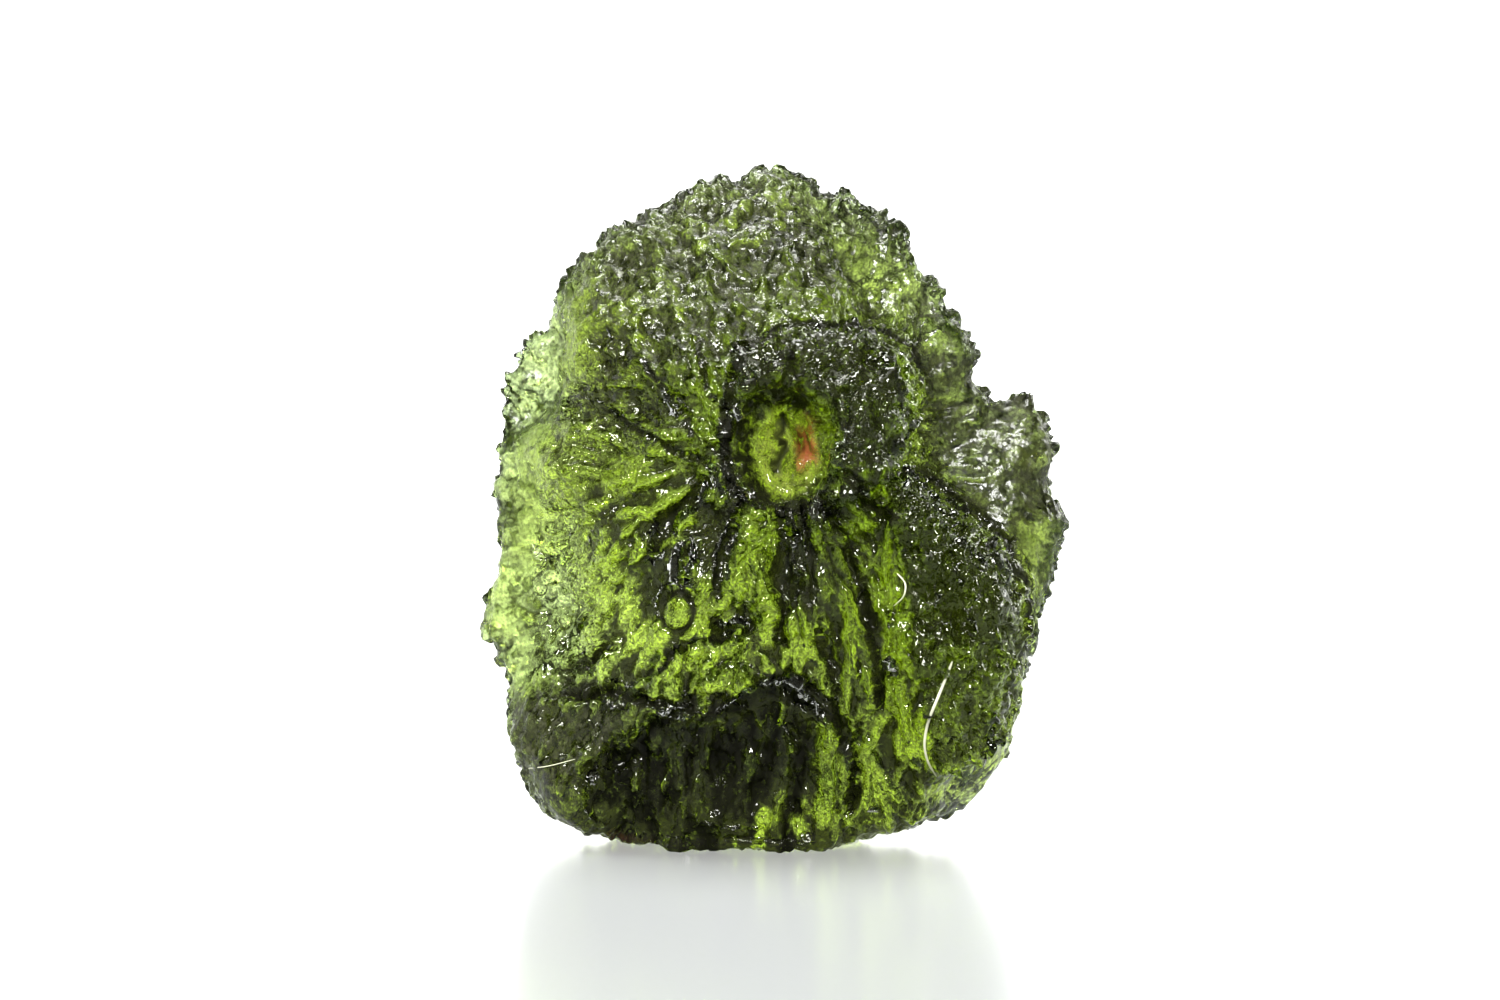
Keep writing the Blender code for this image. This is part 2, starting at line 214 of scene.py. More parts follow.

# How clear the skin is, from 0 to 1, over parts of the front, which paints their light and
# shade: outline, value, soft edge
CLARITY = [
    ([(-9.8, 18.6), (-6.2, 19.6), (-6.0, 15.6), (-7.2, 13.4), (-6.9, 11.4), (-5.6, 10.8),
      (-4.6, 9.5), (-4.6, 6.9), (-6.2, 6.2), (-10.0, 4.6)], 0.95, 0.7),
    ([(-5.6, 10.8), (-4.0, 11.9), (-2.4, 11.4), (-0.1, 11.1), (0.1, 6.9), (-0.7, 5.2),
      (-2.4, 4.6), (-3.6, 5.5), (-5.6, 6.4), (-5.9, 8.9)], 0.76, 0.9),
    ([(-2.0, 15.7), (-1.2, 15.7), (-1.4, 13.7), (-1.7, 13.1), (-2.4, 13.4), (-2.5, 14.7)],
     0.8, 0.5),
    ([(-7.4, 14.0), (-5.9, 14.0), (-5.8, 11.2), (-7.1, 11.4)], 0.8, 0.5),
    ([(4.8, 16.6), (6.2, 18.0), (9.8, 15.0), (9.9, 9.0), (8.6, 8.0), (7.6, 9.6), (5.6, 11.4),
      (4.9, 13.4)], 0.3, 0.8),
    ([(0.8, 10.6), (4.2, 10.6), (4.6, 4.0), (5.4, 0.6), (1.4, 0.4), (1.6, 4.4), (0.6, 6.0)],
     0.42, 0.8),
    ([(1.2, 21.9), (3.5, 21.3), (5.8, 18.7), (6.6, 16.2), (5.0, 16.4), (3.2, 17.5),
      (2.2, 18.6), (1.6, 20.0)], 0.82, 0.8),
    (UPPER_PLATE, 0.14, 0.4),
    (RIGHT_PLATE, 0.1, 0.5),
    ([(5.0, 6.8), (8.1, 6.8), (7.8, 4.6), (7.0, 3.4), (5.4, 3.0)], 0.3, 0.8),
    ([(7.9, 10.4), (10.0, 11.0), (10.0, 6.5), (8.6, 6.0), (8.3, 8.0)], 0.95, 0.8),
    (HOLLOW, 0.08, 1.0),
    ([(-8.6, 5.0), (-4.0, 4.6), (-5.4, 3.4), (-6.4, 2.0), (-5.6, -0.4), (-8.6, 0.4)], 0.26, 0.8),
]

# Spots painted clear as light shining through: place and radius
BRIGHT_SPOTS = [
    ((-0.3, 1.2), 0.42), ((0.8, 0.9), 0.3), ((-0.4, 0.3), 0.3), ((-1.3, 0.4), 0.16),
    (BUBBLE, 0.42),
]

# The thin flange behind the thick part is etched less deeply
FLANGES = [
    [(-10.0, 18.6), (-6.4, 19.6), (-6.2, 15.6), (-7.3, 13.4), (-7.6, 9.0), (-7.9, 4.0),
     (-10.0, 3.6)],
    [(4.9, 16.6), (6.2, 18.0), (9.9, 15.0), (10.0, 6.0), (8.5, 6.0), (8.4, 8.6), (7.6, 10.2),
     (5.6, 11.8), (5.0, 13.4)],
]
FLANGE_EDGE = 0.6

# The lower left, which is dustier than the rest
DUSTY = [(-8.8, 5.2), (-4.4, 4.4), (-5.4, 3.4), (-6.4, 2.0), (-5.6, -0.4), (-8.8, 0.2)]

# Where long upright flutes run
FLUTED = [
    (0.6, 10.5), (4.4, 10.5), (4.8, 8.0), (5.2, 3.0), (5.6, 0.5), (-5.5, 0.0), (-5.5, 4.0),
    (-1.0, 4.6), (0.4, 6.0),
]
FLUTED_EDGE = 1.0
FLUTE_STRETCH = 0.14

# The flutes: their width, their depth and a number for their pattern
FLUTES = [(0.45, 0.14, 9), (0.2, 0.07, 10)]

# The broken facets of the plates: their size, how far they lean and a number for their pattern
FACETS = [(0.8, 0.26, 11), (0.32, 0.3, 13)]
FACETS_PER_SQUARE = 0.7
MOST_FACET_HEIGHT = 0.18

# Smooth chips that the etching spares
CHIPS = [
    [(5.3, 2.6), (7.4, 3.7), (8.0, 2.9), (7.2, 1.2), (6.0, 0.6), (4.9, 0.4), (4.4, 1.4)],
    [(-8.3, 2.9), (-7.0, 3.3), (-6.5, 2.1), (-6.2, 0.6), (-7.6, 0.9)],
]
CHIP_EDGE = 0.4

# Lint fibres: their names, their runs and their share of the full thickness
LINT = [
    ("lint_long", [(5.78, 6.2), (5.35, 5.1), (5.0, 4.3), (4.85, 3.5), (5.0, 2.9), (5.27, 2.5)],
     1.0),
    ("lint_left", [(-7.9, 2.75), (-7.3, 2.8), (-6.4, 3.05)], 0.45),
    ("lint_curl", [(4.0, 9.05), (4.3, 8.75), (4.25, 8.3), (3.9, 8.0)], 0.6),
]
LINT_CLEARANCE = 0.12
LINT_SMOOTHING = 12
LINT_STEPS = 8

# Points of the solid that are nearer than this are one
MERGE_DISTANCE = 0.001

# How far the outlines of the forms and of the colours waver
FORMS_WAVER = 0.16
PAINT_WAVER = 0.14

# Where the round lumps of the dome begin, up and to both sides
DOME = (14.0, 17.0)
SIDES = (6.0, 7.5)

# The kinds of etch scars: how many, the ranges of their width, length and depth, the level
# that keeps the stone's size, and a number for their pattern
LARGE = (420, (0.9, 1.5), (2.0, 4.0), (0.2, 0.4), 0.1, 3)
LUMPS = (6500, (0.3, 0.6), (0.3, 0.7), (0.06, 0.17), 0.17, 4)
TONGUES = (2400, (0.3, 0.6), (1.0, 2.4), (0.22, 0.42), 0.2, 8)
MEDIUM = (5600, (0.28, 0.5), (0.8, 2.0), (0.14, 0.3), 0.11, 5)
FINE = (34000, (0.14, 0.24), (0.18, 0.4), (0.04, 0.1), 0.03, 7)

# How much each place weakens the scars
SPARED_CHIPS = 0.85
SPARED_PIT = 0.55
SPARED_FLANGES = 0.5
SPARED_PLATES = 0.55
SPARED_FOOT = 0.5
FLUTES_WEAKEN_LARGE = 0.5
DOME_WEAKENS_MEDIUM = 0.7
TONGUES_WEAKEN_MEDIUM = 0.8
DOME_WEAKENS_FINE = 0.4
LUMPS_ELSEWHERE = 0.2

# How scars run: how much shorter they are on the dome and longer on the flutes, how far they
# turn at random, and how the flow from the pit bends downwards and over the rim
DOME_SHORTENS = 0.55
FLUTES_LENGTHEN = 0.8
SCAR_TURN = 0.22
SAME_SIDE = 0.2
BACK_CENTRE = (0.2, 10.5)
BACK_STARTS = 0.3
FLOW_BENDS_DOWN = 0.6
FLOW_BENDS_BELOW_PIT = (0.5, 4.0)
FLOW_OVER_RIM = 0.55
FLOW_CALM = 0.2

# The relief that paint reads is in this unit
RELIEF_UNIT = 0.15
MOST_RELIEF = 1.5

# How clear the skin is away from the outlines above, and what makes it clearer or darker:
# painted light and shade, lighter on crests, spots and ribs, darker in valleys, at the foot and
# in the grooves, with the pit's wall dark and its right side lighter
CLEAR_ELSEWHERE = 0.56
PIT_WALL_CLEAR = 0.15
RIGHT_WALL_CLEARER = 0.3
ISLAND_CLEAR = 0.92
CREST_CLEARER = 0.32
TONGUE_CREST_CLEARER = 0.16
MOTTLE_CLEARER = 0.14
FOOT_DARKER = 0.5
SPOT_CLEAR = 0.9
RIB_CLEAR = 0.9
BLACK_DARKER = 1.3
BACK_CLEAR = 0.75
BACK_MOTTLE = 0.15
BACK_CREST_CLEARER = 0.25

# How much dust and painted sheen lie on the skin, and how satin it makes the dome
DUST_AND_SHEEN = 0.36
DUST_MOTTLE = 0.2
PLATES_SHED = 0.4
FLANGES_SHED = 0.7
RIGHT_FLANGE_DUST_AND_SHEEN = 0.45
LOWER_LEFT_DUST = 0.35
ISLAND_DUST = 0.3
DOME_DUST_AND_SHEEN = 0.25
DOME_SATIN = 0.85
DOME_DUST_SHEEN_AND_SATIN = (14.5, 18.0)

# How black the painted shade is on the pit's wall, the upper plate and the channels between
# tongues
WALL_SHADE = 0.7
UPPER_PLATE_SHADE = 0.35
CHANNEL_SHADE = 0.4

# Sparkles lie round the pit and on the plates, and few elsewhere
SPARKLE_RADII = (4.5, 4.5)
SPARKLE_ELSEWHERE = 0.15

# What paint writes on the stone and its material reads
PAINTED = ("clear", "dust_and_sheen", "painted_shade", "sparkle", "stain", "smooth", "island", "satin")

# Sizes of the patterns in the glass's skin
PATCH_SIZE = 0.3
GRAIN_SIZE = 0.16
PIT_SIZE = 0.13
CELL_SIZE = 0.12
SPECKLE_SIZE = 0.1
CLUSTER_SIZE = 0.8


def ramp(value, start, end):
    """0 before start and 1 after end, with a smooth turn between."""
    t = np.clip((value - start) / (end - start), 0.0, 1.0)
    return t * t * (3.0 - 2.0 * t)


def run_distance(points, run):
    """How far each point is from a run of straight pieces, and how far along it, from 0 to 1."""
    nearest = np.full(len(points), np.inf)
    where = np.zeros(len(points))
    corners = np.array(run, float)
    lengths = np.linalg.norm(np.diff(corners, axis=0), axis=1)
    before = 0.0
    for a, b, length in zip(corners, corners[1:], lengths):
        along = (b - a) / length
        t = np.clip((points - a) @ along, 0.0, length)
        away = np.linalg.norm(points - a - t[:, None] * along, axis=1)
        closer = away < nearest
        nearest = np.where(closer, away, nearest)
        where = np.where(closer, (before + t) / lengths.sum(), where)
        before += length
    return nearest, where


def depth_inside(points, outline):
    """How far each point is inside a closed outline. It is negative outside."""
    nearest, _ = run_distance(points, outline + outline[:1])
    inside = np.zeros(len(points), bool)
    x, z = points[:, 0], points[:, 1]
    for (ax, az), (bx, bz) in zip(outline, outline[1:] + outline[:1]):
        crosses = (az > z) != (bz > z)
        if crosses.any():
            at = ax + (z[crosses] - az) / (bz - az) * (bx - ax)
            inside[crosses] ^= x[crosses] < at
    return np.where(inside, nearest, -nearest)


def within(points, outline, edge):
    """1 inside an outline and 0 outside it, with a soft edge of this width."""
    return ramp(depth_inside(points, outline), -edge / 2, edge / 2)


def oval(points, centre, radii):
    """How far each point is from a centre, where 1 is on the oval of these radii."""
    return np.linalg.norm((points - np.array(centre)) / np.array(radii), axis=1)


def crest(value, middle, width):
    """1 at the middle value, fading to 0 on both sides over about this width."""
    return np.exp(-(((value - middle) / width) ** 2))


def noise_of(points, wavelength, seed):
    """Smooth noise between about -1 and 1 at each place in space, shifted by the seed."""
    shift = Vector((seed * 13.7, seed * 5.1, seed * 9.3))
    return np.array([noise.noise(Vector(place) / wavelength + shift) for place in points])


def strokes(points, runs):
    """How deep in the nearest of the runs each point is: 1 on its middle line, 0 at its edge.

    The second result is the height there. Runs thin out near their ends.
    """
    thin_end = 0.35
    best = np.zeros(len(points))
    height = np.zeros(len(points))
    for run, half_width, size in runs:
        away, where = run_distance(points, run)
        taper = ramp(np.minimum(where, 1.0 - where), -0.02, 0.12)
        reach = half_width * (thin_end + (1.0 - thin_end) * taper)
        share = np.clip(1.0 - (away / reach) ** 2, 0.0, 1.0)
        best = np.maximum(best, share)
        height = np.maximum(height, share * size)
    return best, height


class Surface:
    """A mesh's vertices as arrays in millimetres, which are moved in steps."""

    def __init__(self, mesh):
        self.mesh = mesh
        self.read()

    def read(self):
        co = np.empty(len(self.mesh.vertices) * 3)
        self.mesh.vertices.foreach_get("co", co)
        normal = np.empty(len(co))
        self.mesh.vertices.foreach_get("normal", normal)
        self.co = co.reshape(-1, 3) / MM
        self.normal = normal.reshape(-1, 3)

    def seen(self, waver=0.0):
        """Where the camera sees each vertex, on the plane through the stone's middle.

        With a waver, each place is shifted a little at random, so that outlines aren't smooth.
        """
        away = self.co - np.array(LOOK_AT)
        c, s = math.cos(CAMERA_ELEVATION), math.sin(CAMERA_ELEVATION)
        depth = CAMERA_DISTANCE + away[:, 1] * c - away[:, 2] * s
        scale = CAMERA_DISTANCE / depth
        across = LOOK_AT[0] + away[:, 0] * scale
        up = LOOK_AT[2] + (away[:, 2] * c + away[:, 1] * s) * scale
        places = np.stack([across, up], axis=1)
        if waver:
            places[:, 0] += waver * noise_of(self.co, 0.9, 1)
            places[:, 1] += waver * noise_of(self.co, 0.9, 2)
        return places

    def facing(self):
        """1 where the surface faces the front, 0 on the sides and the back."""
        return ramp(-self.normal[:, 1], 0.0, 0.4)

    def raise_by(self, height):
        self.co += self.normal * height[:, None]
        self.write()

    def keep_above_floor(self):
        self.co[:, 2] = np.maximum(self.co[:, 2], 0.0)
        self.write()

    def write(self):
        self.mesh.vertices.foreach_set("co", (self.co * MM).ravel())
        self.mesh.update()
        self.read()

    def store(self, name, values):
        attribute = self.mesh.attributes.new(name, "FLOAT", "POINT")
        attribute.data.foreach_set("value", values.astype(np.float32))

    def stored(self, name):
        values = np.empty(len(self.co), np.float32)
        self.mesh.attributes[name].data.foreach_get("value", values)
        return values.astype(float)


def flow_direction(surface):
    """The way that etch scars run: away from the pit in front, over the rim, on to the back."""
    on_back = (surface.normal[:, 1] > BACK_STARTS)[:, None]
    away = surface.co[:, (0, 2)] - np.where(on_back, np.array(BACK_CENTRE), np.array(PIT))
    below = ramp(PIT[1] - surface.co[:, 2], *FLOW_BENDS_BELOW_PIT)
    away[:, 0] *= 1.0 - FLOW_BENDS_DOWN * below
    away /= np.linalg.norm(away, axis=1)[:, None] + FLOW_CALM
    flow = np.stack([away[:, 0], np.full(len(away), FLOW_OVER_RIM), away[:, 1]], axis=1)
    flow -= surface.normal * (flow * surface.normal).sum(axis=1)[:, None]
    return flow / (np.linalg.norm(flow, axis=1)[:, None] + 1e-9)


def tree_of(places):
    """The places in a form that finds the nearest ones quickly."""
    tree = kdtree.KDTree(len(places))
    for i, place in enumerate(places):
        tree.insert(place, i)
    tree.balance()
    return tree


def scars(surface, kind, stretch):
    """How deep overlapping oval scars of one kind cut, less the kind's level.

    Where they meet, sharp crests stay standing.
    """
    count, widths, lengths, depths, level, seed = kind
    rng = np.random.default_rng(seed)
    flow = flow_direction(surface)
    co, normal = surface.co, surface.normal
    tree = tree_of(co)
    carved = np.zeros(len(co))
    for i in rng.choice(len(co), count, replace=False):
        wide = rng.uniform(*widths)
        long = max(wide, rng.uniform(*lengths) * stretch[i])
        deep = rng.uniform(*depths)
        turn = rng.normal(0.0, SCAR_TURN)
        across = np.cross(normal[i], flow[i])
        along = flow[i] * math.cos(turn) + across * math.sin(turn)
        across = np.cross(normal[i], along)
        found = np.array([index for _, index, _ in tree.find_range(co[i], long / 2)])
        offset = co[found] - co[i]
        q = (offset @ along / (long / 2)) ** 2 + (offset @ across / (wide / 2)) ** 2
        same_side = normal[found] @ normal[i] > SAME_SIDE
        same_side &= np.abs(offset @ normal[i]) < wide
        dent = np.where(same_side, deep * np.clip(1.0 - q, 0.0, None), 0.0)
        carved[found] = np.maximum(carved[found], dent)
    return carved - level


def facets(surface, share, size, tilt, seed):
    """Heights of flat broken facets, each leaning its own way, where the share is above 0."""
    rng = np.random.default_rng(seed)
    chosen = np.flatnonzero(share > 0.0)
    co = surface.co[chosen]
    count = int(FACETS_PER_SQUARE * (np.ptp(co, axis=0) / size)[[0, 2]].prod())
    seeds = rng.choice(len(co), count, replace=False)
    leans = rng.normal(0.0, tilt, (count, 3))
    tree = tree_of(co[seeds])
    nearest = np.array([tree.find(place)[1] for place in co])
    height = np.zeros(len(share))
    height[chosen] = ((co - co[seeds][nearest]) * leans[nearest]).sum(axis=1) * share[chosen]
    return np.clip(height, -MOST_FACET_HEIGHT, MOST_FACET_HEIGHT)


def add_object(name, data):
    """A new object in the scene."""
    ob = bpy.data.objects.new(name, data)
    bpy.context.scene.collection.objects.link(ob)
    return ob


def finished(ob, name):
    """The object's shape with its modifiers, as a new plain object. The old one is removed."""
    bpy.context.view_layer.update()
    evaluated = ob.evaluated_get(bpy.context.evaluated_depsgraph_get())
    mesh = bpy.data.meshes.new_from_object(evaluated)
    mesh.transform(ob.matrix_world)
    mesh.name = name
    bpy.data.objects.remove(ob, do_unlink=True)
    return add_object(name, mesh)


def dense_copy(settings):
    """A copy of the stone's solid with small even faces and no facets left."""
    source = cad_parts[STONE_NODE]
    bm = bmesh.new()
    bm.from_mesh(source.data)
    bm.transform(source.matrix_world)
    bmesh.ops.remove_doubles(bm, verts=bm.verts, dist=MERGE_DISTANCE * MM)
    mesh = bpy.data.meshes.new("stone_blank")
    bm.to_mesh(mesh)
    bm.free()
    blank = add_object("stone_blank", mesh)
    even = blank.modifiers.new("even faces", "REMESH")
    even.mode = "VOXEL"
    even.voxel_size = settings.face_size
    soft = blank.modifiers.new("no facets", "SMOOTH")
    soft.factor = 0.5
    soft.iterations = settings.smoothing
    return finished(blank, "stone_dense")


def triangles(mesh):
    return sum(len(face.vertices) - 2 for face in mesh.polygons)


def on_front(stone, run):
    """Places on the stone's front where the camera sees a run of points, just clear of it."""
    mesh = stone.data
    tree = BVHTree.FromPolygons(
        [vertex.co for vertex in mesh.vertices], [face.vertices for face in mesh.polygons]
    )
    eye = (Vector(LOOK_AT) + VIEW_BACK * CAMERA_DISTANCE) * MM
    corners = np.array(run)
    steps = np.linspace(0, len(run) - 1, LINT_STEPS * (len(run) - 1) + 1)
    places = []
    for x, z in zip(*(np.interp(steps, range(len(run)), corners[:, k]) for k in (0, 1))):
        towards = Vector(LOOK_AT) + Vector((x - LOOK_AT[0], 0.0, 0.0))
        towards += VIEW_UP * (z - LOOK_AT[2])
        ray = (towards * MM - eye).normalized()
        hit = tree.ray_cast(eye, ray)[0]
        places.append(np.array(hit - ray * LINT_CLEARANCE * MM))
    places = np.array(places)
    for _ in range(LINT_SMOOTHING):
        places[1:-1] = (places[:-2] + 2 * places[1:-1] + places[2:]) / 4
    return [tuple(place) for place in places]


def place_forms(surface, seen, facing, plates):
    """Raises the plates and ribs, and sinks the hollow, the pit, the arch and the grooves."""
    height = UPPER_PLATE_RISE * within(seen, UPPER_PLATE, PLATE_EDGE)
    height += RIGHT_PLATE_RISE * within(seen, RIGHT_PLATE, PLATE_EDGE)
    height -= HOLLOW_DEPTH * within(seen, HOLLOW, HOLLOW_EDGE)
    pit = oval(seen, PIT, PIT_RADII)
    height -= PIT_DEPTH * (1.0 - ramp(pit, *PIT_WALL))
    height += PIT_LIP_HEIGHT * crest(pit, *PIT_LIP)
    floor = 1.0 - ramp(oval(seen, PIT_FLOOR, PIT_FLOOR_RADII), *PIT_FLOOR_EDGE)
    height += PIT_FLOOR_RISE * floor
    uneven = PIT_FLOOR_UNEVEN * floor * noise_of(surface.co, PIT_FLOOR_WAVE, 12)
    height += strokes(seen, PIT_LOBES)[1] + uneven
    bubble = oval(seen, BUBBLE, BUBBLE_RADII)
    dome = BUBBLE_HEIGHT * np.clip(1.0 - bubble**2, 0.0, 1.0)
    height += dome - MOAT_DEPTH * crest(bubble, MOAT_RADIUS, MOAT_WIDTH)
    surface.raise_by(height * facing)

    for size, tilt, seed in FACETS:
        surface.raise_by(facets(surface, plates, size, tilt, seed))

    cut = strokes(seen, GROOVES + PIT_SEAM + [(ARCH, ARCH_HALF_WIDTH, ARCH_DEPTH)])[1]
    surface.raise_by((strokes(seen, RIBS)[1] - cut) * facing)


def etch(surface, seen, facing, plates):
    """Covers the stone with scars, from the largest to the finest, and stores their relief."""
    dome = ramp(seen[:, 1], *DOME) * facing
    dome = np.maximum(dome, ramp(np.abs(seen[:, 0]), *SIDES) * facing)
    flutes = within(seen, FLUTED, FLUTED_EDGE) * facing
    tongued = within(seen, TONGUED, TONGUED_EDGE) * facing
    chips = sum(within(seen, outline, CHIP_EDGE) for outline in CHIPS) * facing
    flange = sum(within(seen, outline, FLANGE_EDGE) for outline in FLANGES) * facing
    in_pit = (1.0 - ramp(oval(seen, PIT, PIT_RADII), 1.0, 1.15)) * facing
    off_bubble = ramp(oval(seen, BUBBLE, BUBBLE_RADII), 1.0, 1.4)
    spared = 1.0 - SPARED_CHIPS * chips
    spared *= (1.0 - SPARED_PIT * in_pit) * (1.0 - SPARED_FLANGES * flange) * off_bubble
    above_foot = ramp(surface.co[:, 2], 0.2, 1.5)
    spared *= (1.0 - SPARED_PLATES * plates) * (1.0 - SPARED_FOOT + SPARED_FOOT * above_foot)
    stretch = 1.0 - DOME_SHORTENS * dome + FLUTES_LENGTHEN * flutes
    even = np.ones(len(seen))

    large = -scars(surface, LARGE, stretch) * spared * (1.0 - FLUTES_WEAKEN_LARGE * flutes)
    surface.raise_by(large)

    lumps = scars(surface, LUMPS, even) * spared
    lumps *= LUMPS_ELSEWHERE + (1.0 - LUMPS_ELSEWHERE) * dome
    lumps *= 1.0 - tongued
    surface.raise_by(lumps)

    tongues = scars(surface, TONGUES, stretch) * spared * tongued
    upright = surface.co * np.array([1.0, 1.0, FLUTE_STRETCH])
    fluting = sum(deep * noise_of(upright, wide, seed) for wide, deep, seed in FLUTES) * flutes
    tongues += fluting * (1.0 + within(seen, HOLLOW, 0.6))
    surface.raise_by(tongues)

    medium = -scars(surface, MEDIUM, stretch) * spared
    medium *= 1.0 - DOME_WEAKENS_MEDIUM * dome
    medium *= 1.0 - TONGUES_WEAKEN_MEDIUM * tongued
    surface.raise_by(medium)

    fine = -scars(surface, FINE, even) * spared * (1.0 - DOME_WEAKENS_FINE * dome)
    surface.raise_by(fine)
    surface.keep_above_floor()
    relief = 0.4 * large + lumps + tongues + medium + fine
    surface.store("relief", relief / RELIEF_UNIT)


def sculpt(surface):
    """Gives the dense copy its plates, pit, grooves, ribs and etch scars."""
    seen = surface.seen(FORMS_WAVER)
    facing = surface.facing()
    plates = within(seen, UPPER_PLATE, PLATE_EDGE)
    plates = np.maximum(plates, within(seen, RIGHT_PLATE, PLATE_EDGE)) * facing
    place_forms(surface, seen, facing, plates)
    etch(surface, seen, facing, plates)


def sculpted_stone(settings):
    """The stone with its fine surface, in no more faces than it may have."""
    stone = dense_copy(settings)
    sculpt(Surface(stone.data))
    thin = stone.modifiers.new("fewer faces", "DECIMATE")
    thin.ratio = settings.most_triangles / triangles(stone.data)
    stone = finished(stone, "moldavite_stone")
    Surface(stone.data).keep_above_floor()
    stone.data.shade_smooth()
    return stone


def pit_parts(seen):
    """The shares of the pit's wall, of its right side, and of the island on its floor."""
    wall = 1.0 - ramp(oval(seen, PIT, PIT_RADII), 0.95, 1.08)
    right_wall = ramp(seen[:, 0], 0.8, 1.6)
    floor = 1.0 - ramp(oval(seen, PIT_FLOOR, PIT_FLOOR_RADII), 0.85, 1.0)
    return wall, right_wall, floor


def groove_shade(seen, mottle):
    """The share of black painted shade in the grooves, under the arch and in the bubble's moat.
    """
    groove, _ = strokes(seen, GROOVES + PIT_SEAM + [(ARCH, ARCH_HALF_WIDTH, 1.0)])
    moat = 0.65 * crest(oval(seen, BUBBLE, BUBBLE_RADII), MOAT_RADIUS, 0.25)
    black = ramp(np.maximum(groove, moat), 0.1, 0.7) * (1.0 - strokes(seen, RIBS)[0])
    return black * np.clip(0.75 + 0.9 * mottle, 0.25, 1.0)


def painted_light_and_shade(seen, facing, relief, mottle, black, height):
    """How clear the skin is at each vertex, from 0 to 1 and a little beyond: painted light and
    shade.
    """
    clear = np.full(len(seen), CLEAR_ELSEWHERE)
    for outline, value, edge in CLARITY:
        clear += (value - clear) * within(seen, outline, edge)
    wall, right_wall, floor = pit_parts(seen)
    clear += (PIT_WALL_CLEAR + RIGHT_WALL_CLEARER * right_wall - clear) * wall
    clear += (ISLAND_CLEAR - clear) * floor
    tongued = within(seen, TONGUED, TONGUED_EDGE) * facing
    clear += (CREST_CLEARER + TONGUE_CREST_CLEARER * tongued) * relief + MOTTLE_CLEARER * mottle
    clear -= FOOT_DARKER * (1.0 - ramp(height, 0.2, 1.2))
    for place, radius in BRIGHT_SPOTS:
        far = oval(seen, place, (radius, radius * 1.3)) * (1.0 + 0.6 * mottle)
        clear = np.maximum(clear, (1.0 - ramp(far, 0.5, 1.1)) * SPOT_CLEAR)
    clear = np.maximum(clear, RIB_CLEAR * np.sqrt(strokes(seen, RIBS)[0]))
    clear -= BLACK_DARKER * black
    back_clear = BACK_CLEAR + BACK_MOTTLE * mottle + BACK_CREST_CLEARER * relief
    return back_clear + (clear - back_clear) * facing


